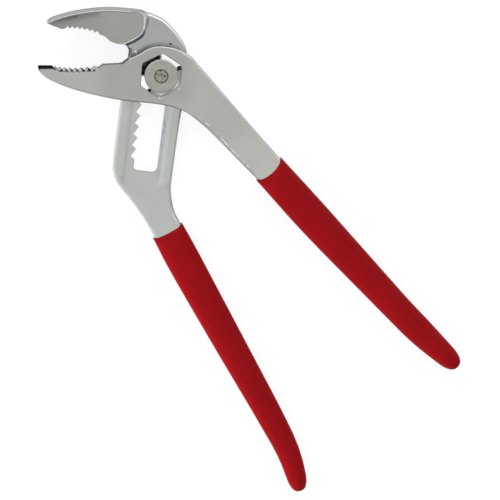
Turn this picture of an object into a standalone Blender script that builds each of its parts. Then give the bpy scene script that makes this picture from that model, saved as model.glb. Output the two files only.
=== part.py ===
"""Water pump pliers: two forged arms, two dipped grips, and the toothed bolt and nut they turn on.

The pliers lie on their back. X runs to the right of the photograph, Y up it, and Z towards the camera.
The pivot axis is the Z axis, and the bolt's head and both grips stand on Z = 0.
Lengths below are in millimetres, and mesh_object() turns them into metres.
"""

import math

import bmesh
import bpy
import numpy as np

# Layers, from the rest plane up
GAP = 0.3  # between pieces that fit or slide on each other
HEAD_THICK = 1.7  # bolt's head, behind the rear arm
PLATE_THICK = 5.2  # rear arm round the slot
ARM_THICK = 5.5  # front arm round the pivot
LEDGE_THICK = 2.3  # front arm under the nut
NUT_THICK = 3.2
CHANNEL_DEPTH = 1.0  # relief round the slot, in the rear arm's front
JAW_BACK_STEP = 0.2  # the jaws stand this far behind the plate
NECK_THICK = 7.4  # both arms where they enter the grips

# Pivot
HEAD_RADIUS = 9.5
HEAD_EDGE = 0.9  # rounding of the head
NECK_RADIUS = 3.7  # bolt inside its toothed block
KEY_HALF_LENGTH = 6.6  # toothed block of the bolt, along the slot
KEY_EDGE = 0.8  # chamfer of the block's plain corners
JOURNAL_RADIUS = 5.0  # the front arm turns on this
STUD_RADIUS = 2.9  # end that holds the nut
STUD_PROUD = 0.35
PEEN_SPREAD = 0.45  # staked end, spread this far over the nut's face
PEEN_CLEAR = 0.05
STAKE_RADIUS = 1.3  # dimple in the staked end
STAKE_DEPTH = 0.5
NUT_FLATS = 16.2  # across flats
NUT_CORNER = 9.0  # radius that its corners are cut to
NUT_COLLAR = 1.3  # height of its round front
NUT_EDGE = 0.35  # chamfer of the round front
NUT_BREAK = 0.1  # broken edge of its bore
WINDOW_CLEAR = 1.2  # round the nut's flats, in the front arm's hexagon
WINDOW_CORNER = 0.9  # length of the hexagon's sides that each round corner takes
WINDOW_CHAMFER = 0.25
WINDOW_TURN = 86.0  # degrees, of the hexagon's first corner
NUT_TURN = 91.0

# Slot and rack of the rear arm; lateral runs to the right across the slot, from the pivot
SLOT_TILT = 7.2  # degrees from upright
SLOT_PLAIN = 4.25  # lateral of the plain wall
RACK_TIPS = -7.0  # lateral of the tooth tips
RACK_DEPTH = 2.2
RACK_PITCH = 5.3
RACK_FIRST = -1.8  # first notch, along the slot from the pivot
RACK_STEEP = 1.4  # short flank of a tooth, along the slot
RACK_NOTCHES = 9
SLOT_TOP_CLEAR = 0.7
SLOT_TAIL = 6.5  # plain slot past the last notch
SLOT_CORNER = 2.4
CHANNEL_MARGIN = 1.5  # relief past the slot's plain wall, its notches and its top
CHANNEL_TAIL = 9.0  # relief past the slot's foot
CHANNEL_CORNER = 5.5
CHANNEL_DRAFT = 63.0  # degrees from upright
CHANNEL_OVERCUT = 0.3  # the relief is cut from this far above the plate
SIDE_WALL = 6.2  # rear arm beside the relief

# Jaws
JAW_TEETH = 8
JAW_TOOTH_DEPTH = 1.1
JAW_EDGE = 1.6  # rounding of the rear arm's jaw
ARM_EDGE = 1.2  # rounding of the front arm
BODY_EDGE = 1.8  # rounding of the rear arm's plate
EDGE_STEPS = 3
STEP_CLEAR = 11.3  # the front arm's thick jaw starts this far beside the rear arm
STEP_TURN = 14.9  # degrees from the slot; the closed arms bring the step along the rear arm's side
STEP_RAMP = 0.8

# Necks and grips
NECK_LENGTH = 26.6  # rear arm from the slot's foot to the grip
NECK_SHIFT = 12.8  # lateral of the rear grip's mouth
FRONT_NECK = 68.7  # from the pivot to the front grip's mouth
FRONT_NECK_TURN = -41.75  # degrees from the right
REAR_GRIP_LENGTH = 139.5
REAR_GRIP_TURN = -63.3
FRONT_GRIP_LENGTH = 130.5
FRONT_GRIP_TURN = -46.8
GRIP_WALL = 1.2  # at the sides
GRIP_FACE_WALL = 1.6
GRIP_CORNER = 3.6
GRIP_CROWN = 0.7  # the grip's faces fall by this to their sides
CAVITY_CORNER = 1.0
TANG_REACH = 0.86  # tang's share of the grip's length
TANG_END = 0.5  # length of the tang's round end, to its half width
LIP_LENGTH = 5.0  # the grip's wall thickens over this length
LIP_WALL = 0.5
LIP_EDGE = 0.25
NOSE_LENGTH = 7.0  # round end of the grip
NOSE_BLUNT = 0.62  # power of the end's fall; a round nose would have 1
NOSE_TALL = 0.35  # share of the height that the end keeps
FRONT_MOUTH_BOW = 2.1  # hollow of the front grip's edge
REAR_MOUTH_BOW = 0.7

# Heights that follow from the layers
PLATE_BACK = HEAD_THICK + GAP + JAW_BACK_STEP
PLATE_FRONT = PLATE_BACK + PLATE_THICK
ARM_BACK = PLATE_FRONT + GAP
ARM_FRONT = ARM_BACK + ARM_THICK
JAW_BACK = PLATE_BACK - JAW_BACK_STEP
LEDGE_FRONT = ARM_BACK + LEDGE_THICK
NUT_BACK = LEDGE_FRONT + GAP
NUT_FRONT = NUT_BACK + NUT_THICK
CHANNEL_FLOOR = PLATE_FRONT - CHANNEL_DEPTH
NECK_BACK = GRIP_FACE_WALL + GAP
NECK_FRONT = NECK_BACK + NECK_THICK

# Plan sizes that follow from the slot
SLOT_TOP = -(KEY_HALF_LENGTH + SLOT_TOP_CLEAR)
SLOT_FOOT = RACK_FIRST + (RACK_NOTCHES - 1) * RACK_PITCH + SLOT_TAIL
CHANNEL_LEFT = RACK_TIPS - RACK_DEPTH - CHANNEL_MARGIN
CHANNEL_RIGHT = SLOT_PLAIN + CHANNEL_MARGIN
BODY_LEFT = CHANNEL_LEFT - SIDE_WALL
BODY_RIGHT = CHANNEL_RIGHT + SIDE_WALL

# Outlines, as (x, y) from the pivot
JAW_TOP_LINE = [(-53.5, 25.3), (-52.8, 26.2), (-50.6, 27.6), (-40.1, 30.4), (-26.0, 31.9), (-13.0, 31.1)]
WALL_FOOT_LINE = [(-8.2, 30.2), (-5.9, 28.6), (-5.2, 24.8), (-6.8, 18.7), (-10.4, 15.4), (-14.9, 13.6)]
WALL_CREST_LINE = [(-10.9, 29.8), (-8.9, 28.0), (-8.1, 25.2), (-9.5, 21.0), (-12.9, 18.2), (-18.4, 15.5)]
JAW_THROAT_LINE = [(-19.6, 15.4), (-22.0, 15.9), (-24.3, 16.9), (-26.0, 18.6), (-27.0, 19.3)]
JAW_TEETH_LINE = [(-28.0, 19.7), (-37.3, 22.5), (-46.5, 22.9)]
JAW_TIP = (-47.2, 22.8)
HEAD_LINE = [
    (-22.0, 28.6), (-14.0, 30.6), (-8.6, 30.1), (-1.5, 27.6), (3.2, 24.6), (8.4, 18.7), (11.9, 12.8), (12.9, 5.0),
]
HEAD_THROAT_LINE = [(-15.0, 9.8), (-15.7, 13.0), (-23.0, 20.0)]
FRONT_FLAT_LINE = [(-57.5, 4.25), (-50.7, 4.1), (-50.1, 3.1)]
FRONT_TEETH_LINE = [(-50.4, 4.3), (-41.2, 3.05), (-30.0, 3.75)]
FRONT_THROAT_LINE = [(-29.6, 3.9), (-27.4, 5.5), (-20.0, 5.8)]
HUB_LINE = [
    (-18.2, 6.3), (-15.3, 8.6), (-10.9, 10.5), (-5.6, 13.5), (0.8, 14.2), (7.5, 12.8), (13.5, 9.2), (16.5, 6.3),
]
BELLY_LINE = [
    (11.0, -17.1), (0.0, -13.8), (-19.2, -11.4), (-33.2, -8.4), (-43.3, -5.4), (-50.3, -2.5), (-55.4, 0.4),
    (-57.6, 3.1),
]
# Rear arm's sides, as (right of the body's side, along the slot), and past the slot's foot for the neck
BODY_RIGHT_LINE = [(0.9, 8.0), (0.0, 22.0)]
BODY_LEFT_LINE = [(0.0, 15.0), (0.5, 3.0)]
NECK_RIGHT_LINE = [(-0.3, -4.0), (-0.1, 6.0), (1.5, 13.5), (3.5, 18.2)]
NECK_LEFT_LINE = [(22.0, 27.6), (16.5, 20.6), (10.0, 13.7), (2.9, 6.6), (0.7, 2.0), (0.0, -4.0)]
# Front arm's neck, as (past the grip's mouth, towards the upper right)
NECK_UPPER_LINE = [(-45.3, 13.5), (-14.5, 9.25)]
NECK_LOWER_LINE = [(-4.8, -6.9), (-26.4, -5.15), (-37.3, -4.55)]
STEP_FOOT = -5.5  # along the slot, a point of the step

# Grips: (share of the length, offset towards the upper right, half width) from the mouth to the end
REAR_GRIP_LINE = [
    (0.0, 0.0, 7.75), (0.1225, 0.36, 8.0), (0.4036, 1.57, 7.2), (0.7178, 3.25, 6.2), (0.8692, 3.16, 5.4),
    (1.0, 0.0, 4.2),
]
FRONT_GRIP_LINE = [
    (0.0, 0.0, 7.9), (0.2626, -0.9, 8.05), (0.6628, -1.53, 6.75), (0.8276, -1.28, 6.3), (1.0, 0.05, 4.4),
]

STEEL = dict(colour=(0.55, 0.55, 0.53), metallic=1.0, roughness=0.35)
ZINC = dict(colour=(0.48, 0.48, 0.46), metallic=1.0, roughness=0.3)
RED_VINYL = dict(colour=(0.30, 0.008, 0.012), metallic=0.0, roughness=0.4)
SHARP_ANGLE = 32.0  # degrees between faces that stay an edge


def unit(x, y):
    length = math.hypot(x, y)
    return np.array([x / length, y / length])


def direction(degrees):
    """Unit vector, turned anticlockwise from the right."""
    return np.array([math.cos(math.radians(degrees)), math.sin(math.radians(degrees))])


ALONG = direction(270 - SLOT_TILT)
ACROSS = direction(-SLOT_TILT)
FRONT_NECK_RUN = direction(FRONT_NECK_TURN)


def slot_point(lateral, along):
    """A point given across and along the slot."""
    return tuple(lateral * ACROSS + along * ALONG)


def neck_point(ahead, sideways):
    """A point given from the front grip's mouth."""
    return tuple((FRONT_NECK + ahead) * FRONT_NECK_RUN + sideways * direction(FRONT_NECK_TURN + 90))


def curve(points, spacing=1.6, steps=0):
    """A smooth line through the points, as Catmull-Rom spans of this spacing or of this many steps."""
    p = [np.array(q, float) for q in points]
    p = [2 * p[0] - p[1]] + p + [2 * p[-1] - p[-2]]
    line = []
    for a, b, c, d in zip(p, p[1:], p[2:], p[3:]):
        count = steps or max(1, round(float(np.linalg.norm(c - b)) / spacing))
        for t in np.arange(count) / count:
            line.append(
                0.5 * (2 * b + (c - a) * t + (2 * a - 5 * b + 4 * c - d) * t**2 + (3 * b - a - 3 * c + d) * t**3)
            )
    line.append(p[-2])
    return [tuple(q) for q in line]


def arc(x, y, radius, start, turn, steps):
    """Points on a circle, from a start angle and through a turn in degrees."""
    turns = np.radians(start + turn * np.arange(steps + 1) / steps)
    return [(x + radius * math.cos(a), y + radius * math.sin(a)) for a in turns]


def circle(radius, count=64, start=0.0):
    return arc(0, 0, radius, start, 360, count)[:-1]


def toothed(start, middle, end, count, depth):
    """Teeth along a bowed line, with their tips on it and their roots to its right."""
    a, m, b = (np.array(q, float) for q in (start, middle, end))
    control = 2 * m - (a + b) / 2
    line = []
    for i in range(1, 2 * count):
        t = i / (2 * count)
        at = (1 - t) ** 2 * a + 2 * t * (1 - t) * control + t**2 * b
        run = (1 - t) * (control - a) + t * (b - control)
        line.append(tuple(at if i % 2 else at + depth * unit(run[1], -run[0])))
    return line


def inward(outline):
    """Unit normals that point into a closed outline, mitred a little at its corners."""
    p = np.array(outline)
    before, after = p - np.roll(p, 1, 0), np.roll(p, -1, 0) - p
    before /= np.linalg.norm(before, axis=1)[:, None]
    after /= np.linalg.norm(after, axis=1)[:, None]
    x, y = p.T
    turn = np.sign(np.sum(x * np.roll(y, -1) - y * np.roll(x, -1)))
    n = turn * np.stack([-(before + after)[:, 1], (before + after)[:, 0]], 1)
    size = np.linalg.norm(n, axis=1)
    return n / np.maximum(size**2 / 2, 0.9)[:, None]


def blended(flags, reach=2):
    """Shares of rounding that rise smoothly from the sharp stretches of a closed outline."""
    shares = np.array(flags, float)
    for _ in range(reach):
        shares = np.minimum(shares, (np.roll(shares, 1) + shares + np.roll(shares, -1)) / 3)
    return shares


def edge_profile(radius):
    """(inset, distance from the face) of a rounded edge, from the side wall up to the face."""
    return [(radius + x, radius - y) for x, y in arc(0, 0, radius, 180, -90, EDGE_STEPS)]


def mesh_object(name, points, faces, colour=(0.5, 0.5, 0.5), metallic=1.0, roughness=0.35):
    mesh = bpy.data.meshes.new(name)
    mesh.from_pydata([tuple(c / 1000 for c in p) for p in points], [], faces)
    bm = bmesh.new()
    bm.from_mesh(mesh)
    bmesh.ops.recalc_face_normals(bm, faces=bm.faces)
    bm.to_mesh(mesh)
    bm.free()
    obj = bpy.data.objects.new(name, mesh)
    bpy.context.scene.collection.objects.link(obj)
    material = bpy.data.materials.new(name)
    material.use_nodes = True
    shader = material.node_tree.nodes["Principled BSDF"]
    shader.inputs["Base Color"].default_value = (*colour, 1)
    shader.inputs["Metallic"].default_value = metallic
    shader.inputs["Roughness"].default_value = roughness
    mesh.materials.append(material)
    return obj


def lofted(name, rings, caps=True, **look):
    """A body through rings of equal length. Without caps, the last ring joins the first."""
    n = len(rings[0])
    points = [q for ring in rings for q in ring]
    faces = []
    for i in range(len(rings) - (1 if caps else 0)):
        low, high = i * n, (i + 1) % len(rings) * n
        faces += [(low + k, low + (k + 1) % n, high + (k + 1) % n, high + k) for k in range(n)]
    if caps:
        faces += [tuple(range(n)), tuple(range(len(points) - n, len(points)))]
    return mesh_object(name, points, faces, **look)


def flat_rings(levels):
    """Rings from (height, outline) pairs."""
    return [[(x, y, z) for x, y in outline] for z, outline in levels]


def boolean(obj, other, operation):
    modifier = obj.modifiers.new(operation, "BOOLEAN")
    modifier.solver, modifier.operation, modifier.object = "EXACT", operation, other
    bpy.context.view_layer.objects.active = obj
    bpy.ops.object.modifier_apply(modifier=modifier.name)
    bpy.data.objects.remove(other)


def cut_through(obj, outline):
    boolean(obj, lofted("cutter", flat_rings([(-ARM_FRONT, outline), (2 * ARM_FRONT, outline)])), "DIFFERENCE")


def forged_plate(name, outline, radius, edge, cuts, back, front, **look):
    """A plate with rounded edges whose back and front follow heights given over the plan.

    edge holds each outline point's share of the rounding radius. cuts holds (point, normal) of upright
    planes along which the faces may fold.
    """
    p, n, edge = np.array(outline), inward(outline), np.array(edge)[:, None]
    far = 10 * ARM_FRONT
    profile = edge_profile(radius)
    levels = [(d, p + n * edge * inset) for inset, d in reversed(profile)]
    levels += [(far - d, p + n * edge * inset) for inset, d in profile]
    obj = lofted(name, flat_rings(levels), **look)
    bm = bmesh.new()
    bm.from_mesh(obj.data)
    for (x, y), (nx, ny) in cuts:
        bmesh.ops.bisect_plane(
            bm, geom=bm.verts[:] + bm.edges[:] + bm.faces[:], dist=1e-7,
            plane_co=(x / 1000, y / 1000, 0), plane_no=(nx, ny, 0),
        )
    for v in bm.verts:
        x, y, z = (1000 * c for c in v.co)
        v.co.z = (back(x, y) + z if z < far / 2 else front(x, y) - (far - z)) / 1000
    bm.to_mesh(obj.data)
    bm.free()
    return obj


def lip_wall(at, full):
    """The grip's wall at a length from its mouth, where it grows from the lip to its full thickness."""
    return LIP_WALL + (full - LIP_WALL) * math.sin(min(1.0, max(0.0, at / LIP_LENGTH)) * math.pi / 2)


class Handle:
    """Centre line of a grip, with the sizes of the grip and of the tang inside it."""

    def __init__(self, mouth, length, turn, line):
        run, side = direction(turn), direction(turn + 90)
        points = [(*(mouth + share * length * run + offset * side), half) for share, offset, half in line]
        line = np.array(curve(points, 1.5))
        self.centre, self.half = line[:, :2], line[:, 2]
        run = np.gradient(self.centre, axis=0)
        self.run = run / np.linalg.norm(run, axis=1)[:, None]
        steps = np.linalg.norm(np.diff(self.centre, axis=0), axis=1)
        self.at = np.r_[0, np.cumsum(steps)]
        self.length = self.at[-1]

    def place(self, at, sideways, ahead=0.0):
        """Plan position at a length along the grip, this far towards its upper right side and ahead."""
        x, y = (np.interp(at, self.at, self.centre[:, k]) for k in (0, 1))
        run = unit(*(np.interp(at, self.at, self.run[:, k]) for k in (0, 1)))
        return x - run[1] * sideways + run[0] * ahead, y + run[0] * sideways + run[1] * ahead

    def half_at(self, at):
        return float(np.interp(at, self.at, self.half))

    def cavity_at(self, at):
        """Half width of the grip's cavity."""
        return self.half_at(at) - lip_wall(at, GRIP_WALL)

    def tang_outline(self):
        """The tang's plan, from its root on the upper right round to its root on the lower left."""
        end = TANG_REACH * self.length
        stations = np.r_[LIP_LENGTH * np.arange(4) / 3, np.linspace(2 * LIP_LENGTH, end, 22)]
        sides = [[self.place(s, side * (self.cavity_at(s) - GAP)) for s in stations] for side in (1, -1)]
        half = self.cavity_at(end) - GAP
        tip = [self.place(end, half * x, TANG_END * half * y) for x, y in arc(0, 0, 1, 0, 180, 8)[1:-1]]
        return sides[0] + tip + sides[1][::-1]


def rounded_section(half, tall, corner, crown):
    """(sideways, up) round a rectangle with rounded corners, whose top and bottom fall to the sides."""
    corner = min(corner, 0.98 * half, 0.98 * tall)
    ring = []
    for k, (sx, sy) in enumerate(((1, 1), (-1, 1), (-1, -1), (1, -1))):
        ring += arc(sx * (half - corner), sy * (tall - corner), corner, 90 * k, 90, 4)
        if sx == sy:
            ring += [(sx * share * (half - corner), sy * tall) for share in (0.5, 0.0, -0.5)]
    return [(x, y * (1 - crown / tall * (x / half) ** 2)) for x, y in ring]


def make_grip(name, handle, bow):
    """A dipped grip: closed at its end, with a cavity round the tang and a lip at its mouth."""
    middle, cavity_tall = NECK_BACK + NECK_THICK / 2, NECK_THICK / 2 + GAP
    lip_corner = CAVITY_CORNER + LIP_WALL

    def ring(at, half, tall, corner, crown=0.0):
        fade = max(0.0, 1 - at / (2 * LIP_LENGTH))
        out = []
        for v, w in rounded_section(half, tall, corner, crown):
            x, y = handle.place(at, v, bow * fade * (1 - (v / handle.half_at(0)) ** 2))
            out.append((x, y, middle + w))
        return out

    def outer(at, shrink=1.0):
        wall = lip_wall(at, GRIP_FACE_WALL)
        grown = (wall - LIP_WALL) / (GRIP_FACE_WALL - LIP_WALL)
        tall = (cavity_tall + wall) * (NOSE_TALL + (1 - NOSE_TALL) * shrink)
        corner = lip_corner + grown * (GRIP_CORNER - lip_corner)
        return ring(at, handle.half_at(at) * shrink, tall, corner, grown * GRIP_CROWN)

    lip = LIP_LENGTH * np.arange(4) / 3
    floor = TANG_REACH * handle.length + TANG_END * handle.cavity_at(handle.length) + GAP + GRIP_WALL
    rings = []
    for at in [floor, *np.linspace(floor - GRIP_WALL, 2 * LIP_LENGTH, 12), *lip[::-1]]:
        rings.append(ring(at, handle.cavity_at(at), cavity_tall, CAVITY_CORNER))
    half, tall = handle.half_at(0.0) - LIP_EDGE, cavity_tall + LIP_WALL - LIP_EDGE
    rings.append(ring(0.0, half, tall, lip_corner - LIP_EDGE))
    nose = handle.length - NOSE_LENGTH
    for at in [LIP_EDGE, *lip[1:], *np.linspace(2 * LIP_LENGTH, nose, 20)]:
        rings.append(outer(at))
    for turn in np.radians([18, 36, 52, 66, 78, 86]):
        rings.append(outer(nose + NOSE_LENGTH * math.sin(turn), math.cos(turn) ** NOSE_BLUNT))
    return lofted(name, rings, **RED_VINYL)


def rack_lateral(along):
    """Lateral of the rack's face at a place along the slot."""
    first_tip = RACK_FIRST + RACK_STEEP - RACK_PITCH
    if not first_tip < along < first_tip + RACK_NOTCHES * RACK_PITCH:
        return RACK_TIPS
    phase = (along - first_tip) % RACK_PITCH
    rise = RACK_PITCH - RACK_STEEP
    depth = phase / rise if phase < rise else (RACK_PITCH - phase) / RACK_STEEP
    return RACK_TIPS - RACK_DEPTH * depth


def rack_breaks():
    """Places along the slot where the rack's face turns."""
    first_tip = RACK_FIRST + RACK_STEEP - RACK_PITCH
    out = []
    for k in range(RACK_NOTCHES):
        out += [first_tip + k * RACK_PITCH, RACK_FIRST + k * RACK_PITCH]
    return out + [first_tip + RACK_NOTCHES * RACK_PITCH]


def slot_outline():
    plan = [(SLOT_PLAIN, SLOT_TOP), (RACK_TIPS, SLOT_TOP)]
    plan += [(rack_lateral(b), b) for b in rack_breaks()]
    plan += arc(RACK_TIPS + SLOT_CORNER, SLOT_FOOT - SLOT_CORNER, SLOT_CORNER, 180, -90, 4)
    plan += arc(SLOT_PLAIN - SLOT_CORNER, SLOT_FOOT - SLOT_CORNER, SLOT_CORNER, 90, -90, 4)
    return [slot_point(*q) for q in plan]


def channel_outline():
    """The relief round the slot, a rectangle with round corners."""
    left, right = CHANNEL_LEFT + CHANNEL_CORNER, CHANNEL_RIGHT - CHANNEL_CORNER
    top, foot = SLOT_TOP - CHANNEL_MARGIN + CHANNEL_CORNER, SLOT_FOOT + CHANNEL_TAIL - CHANNEL_CORNER
    plan = []
    for x, y, start in ((left, foot, 180), (right, foot, 90), (right, top, 0), (left, top, -90)):
        plan += arc(x, y, CHANNEL_CORNER, start, -90, 6)
    return [slot_point(*q) for q in plan]


def make_rear_jaw():
    """The rear arm's jaw, raised to the front arm's face, with a leaning wall towards the pivot."""
    top = curve(JAW_TOP_LINE, 1.2)
    wall_foot, wall_crest = curve(WALL_FOOT_LINE, steps=5), curve(WALL_CREST_LINE, steps=5)
    throat = curve(JAW_THROAT_LINE)
    teeth = toothed(*JAW_TEETH_LINE, JAW_TEETH, JAW_TOOTH_DEPTH)
    rest = throat + teeth + [JAW_TIP]
    foot, crest = np.array(top + wall_foot + rest), np.array(top + wall_crest + rest)
    soft = blended([1.0] * len(top) + [0.0] * (len(foot) - len(top)))[:, None]
    n = inward(foot)
    rise = ARM_FRONT - PLATE_FRONT

    def level(z, inset, lean):
        return z, foot + lean * (crest - foot) + n * soft * inset

    levels = [level(JAW_BACK + d, inset, 0.0) for inset, d in reversed(edge_profile(JAW_EDGE))]
    levels.append(level(PLATE_FRONT - 0.1 * rise, 0.0, 0.0))
    levels.append(level(PLATE_FRONT + 0.1 * rise, 0.0, 0.2))
    levels.append(level(PLATE_FRONT + 0.5 * rise, 0.0, 0.45))
    for inset, d in edge_profile(JAW_EDGE):
        levels.append(level(ARM_FRONT - d, inset, 0.68 + 0.32 * inset / JAW_EDGE))
    return lofted("rear_jaw", flat_rings(levels))


def make_rear_arm(handle):
    """Head, slot body and neck as one forged plate, with the raised jaw joined to it."""
    right = HEAD_LINE + [slot_point(BODY_RIGHT + out, at) for out, at in BODY_RIGHT_LINE]
    right += [slot_point(BODY_RIGHT + out, SLOT_FOOT + past) for out, past in NECK_RIGHT_LINE]
    left = [slot_point(BODY_LEFT + out, SLOT_FOOT + past) for out, past in NECK_LEFT_LINE]
    left += [slot_point(BODY_LEFT + out, at) for out, at in BODY_LEFT_LINE] + HEAD_THROAT_LINE
    outline = curve(right) + handle.tang_outline() + curve(left)
    breaks = SLOT_FOOT + NECK_LENGTH * np.array((0.07, 0.17, 0.26, 0.36, 0.49, 0.64, 0.79, 0.92, 1.0))
    fronts = (NECK_FRONT - PLATE_FRONT) * np.array((0.0, 0.0, 0.0, 0.0, 0.0, 0.2, 0.65, 0.93, 1.0))
    fronts -= CHANNEL_DEPTH * np.array((0.0, 0.25, 0.7, 1.02, 1.0, 0.6, 0.2, 0.0, 0.0))
    backs = (NECK_BACK - PLATE_BACK) * np.array((0.0, 0.0, 0.0, 0.05, 0.15, 0.35, 0.65, 0.9, 1.0))

    def along(x, y):
        return x * ALONG[0] + y * ALONG[1]

    arm = forged_plate(
        "rear_arm", outline, BODY_EDGE, np.ones(len(outline)), [(tuple(b * ALONG), ALONG) for b in breaks],
        lambda x, y: PLATE_BACK + np.interp(along(x, y), breaks, backs),
        lambda x, y: PLATE_FRONT + np.interp(along(x, y), breaks, fronts), **STEEL,
    )
    boolean(arm, make_rear_jaw(), "UNION")
    cut_through(arm, slot_outline())
    channel = np.array(channel_outline())
    tall = CHANNEL_DEPTH + CHANNEL_OVERCUT
    drafted = channel - inward(channel) * math.tan(math.radians(CHANNEL_DRAFT)) * tall
    levels = [(CHANNEL_FLOOR, channel), (CHANNEL_FLOOR + tall, drafted)]
    boolean(arm, lofted("channel_cutter", flat_rings(levels)), "DIFFERENCE")
    return arm


def window_outline():
    """The hexagon round the nut, with its corners rounded."""
    apothem = NUT_FLATS / 2 + WINDOW_CLEAR
    corners = np.array(circle(apothem / math.cos(math.pi / 6), 6, WINDOW_TURN))
    window = []
    for before, here, after in zip(np.roll(corners, 1, 0), corners, np.roll(corners, -1, 0)):
        a = here + WINDOW_CORNER * unit(*(before - here))
        b = here + WINDOW_CORNER * unit(*(after - here))
        window += [(1 - t) ** 2 * a + 2 * t * (1 - t) * here + t**2 * b for t in np.linspace(0, 1, 5)]
    return np.array(window), 1 + 2 * WINDOW_CHAMFER / apothem


def make_front_arm(handle):
    """Jaw, hub and neck as one forged plate, with a hexagonal recess for the nut and a bore for the bolt."""
    teeth = toothed(*FRONT_TEETH_LINE, JAW_TEETH, JAW_TOOTH_DEPTH)
    mouth_side = FRONT_FLAT_LINE + teeth + FRONT_THROAT_LINE
    hub = curve(HUB_LINE + [neck_point(*q) for q in NECK_UPPER_LINE])
    lower = curve([neck_point(*q) for q in NECK_LOWER_LINE] + BELLY_LINE)
    outline = mouth_side + hub + handle.tang_outline() + lower
    sharp = len(mouth_side)
    edge = blended([0.0] * sharp + [1.0] * (len(outline) - sharp))

    step_at = np.array(slot_point(BODY_LEFT - STEP_CLEAR, STEP_FOOT))
    step_normal = direction(180 - SLOT_TILT - STEP_TURN)
    run = handle.run[0]
    mouth = FRONT_NECK * float(FRONT_NECK_RUN @ run)
    back_breaks = mouth * np.array((0.54, 0.59, 0.77, 0.93, 0.98))
    front_breaks = mouth * np.array((0.38, 0.43, 0.71, 0.93, 0.98))
    back_fall = (NECK_BACK - ARM_BACK) * np.array((0.0, 0.05, 0.52, 0.96, 1.0))
    front_fall = (NECK_FRONT - ARM_FRONT) * np.array((0.0, 0.04, 0.54, 0.96, 1.0))

    def back(x, y):
        beyond = (np.array((x, y)) - step_at) @ step_normal
        neck = np.interp(np.array((x, y)) @ run, back_breaks, back_fall)
        return ARM_BACK + neck + np.interp(beyond, (0.0, STEP_RAMP), (0.0, JAW_BACK - ARM_BACK))

    def front(x, y):
        return ARM_FRONT + np.interp(np.array((x, y)) @ run, front_breaks, front_fall)

    cuts = [(tuple(step_at + d * step_normal), step_normal) for d in (0.0, STEP_RAMP)]
    cuts += [(tuple(b * run), run) for b in sorted({*back_breaks, *front_breaks})]
    arm = forged_plate("front_arm", outline, ARM_EDGE, edge, cuts, back, front, **STEEL)
    window, flare = window_outline()
    levels = [
        (LEDGE_FRONT, window), (ARM_FRONT - WINDOW_CHAMFER, window), (ARM_FRONT + WINDOW_CHAMFER, window * flare),
    ]
    boolean(arm, lofted("window_cutter", flat_rings(levels)), "DIFFERENCE")
    cut_through(arm, circle(JOURNAL_RADIUS + GAP))
    return arm


def make_bolt():
    """Round head, a block toothed like the rack, a round journal and a staked end."""
    journal_back = CHANNEL_FLOOR + GAP
    journal_front = NUT_BACK - GAP
    peen, peen_back = STUD_RADIUS + PEEN_SPREAD, NUT_FRONT + PEEN_CLEAR
    stud_front = NUT_FRONT + STUD_PROUD
    chamfer = GAP
    profile = [
        (HEAD_RADIUS - HEAD_EDGE, 0.0), (HEAD_RADIUS - 0.3 * HEAD_EDGE, 0.3 * HEAD_EDGE), (HEAD_RADIUS, HEAD_EDGE),
        (HEAD_RADIUS, HEAD_THICK), (NECK_RADIUS, HEAD_THICK), (NECK_RADIUS, journal_back),
        (JOURNAL_RADIUS, journal_back), (JOURNAL_RADIUS, journal_front - chamfer),
        (JOURNAL_RADIUS - chamfer, journal_front), (STUD_RADIUS, journal_front), (STUD_RADIUS, peen_back),
        (peen, peen_back), (peen, (peen_back + stud_front) / 2), (peen - chamfer, stud_front),
        (STAKE_RADIUS, stud_front), (STAKE_RADIUS / 3, stud_front - STAKE_DEPTH),
    ]
    bolt = lofted("pivot_bolt", [[(x, y, z) for x, y in circle(r)] for r, z in profile], **ZINC)
    breaks = [b for b in rack_breaks() if -KEY_HALF_LENGTH < b < KEY_HALF_LENGTH]
    toothed_side = [-KEY_HALF_LENGTH, *breaks, KEY_HALF_LENGTH]
    plan = [(rack_lateral(b) + RACK_DEPTH + GAP, b) for b in toothed_side]
    plain = SLOT_PLAIN - GAP
    plan += [(plain - KEY_EDGE, KEY_HALF_LENGTH), (plain, KEY_HALF_LENGTH - KEY_EDGE)]
    plan += [(plain, KEY_EDGE - KEY_HALF_LENGTH), (plain - KEY_EDGE, -KEY_HALF_LENGTH)]
    key = [slot_point(*q) for q in plan]
    levels = [(HEAD_THICK / 2, key), (journal_back + GAP, key)]
    boolean(bolt, lofted("key", flat_rings(levels)), "UNION")
    return bolt


def make_nut():
    """A hexagon nut with cut corners and a round front."""
    count = 72
    corner = np.radians(360 / 6)
    turns = 2 * math.pi * np.arange(count) / count
    flats = np.minimum(NUT_FLATS / 2 / np.cos(turns % corner - corner / 2), NUT_CORNER)
    turns += math.radians(NUT_TURN)
    face = NUT_FLATS / 2 - GAP / 2
    bore = STUD_RADIUS + GAP
    collar = NUT_FRONT - NUT_COLLAR

    def ring(radius, height):
        return [(r * math.cos(t), r * math.sin(t), height) for r, t in zip(np.broadcast_to(radius, count), turns)]

    rings = [
        ring(bore, NUT_BACK), ring(flats, NUT_BACK), ring(flats, collar), ring(face, collar),
        ring(face, NUT_FRONT - NUT_EDGE), ring(face - NUT_EDGE, NUT_FRONT),
        ring(bore + NUT_BREAK, NUT_FRONT), ring(bore, NUT_FRONT - NUT_BREAK),
    ]
    return lofted("pivot_nut", rings, caps=False, **ZINC)


def empty(name, parent=None):
    obj = bpy.data.objects.new(name, None)
    bpy.context.scene.collection.objects.link(obj)
    obj.parent = parent
    return obj


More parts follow.
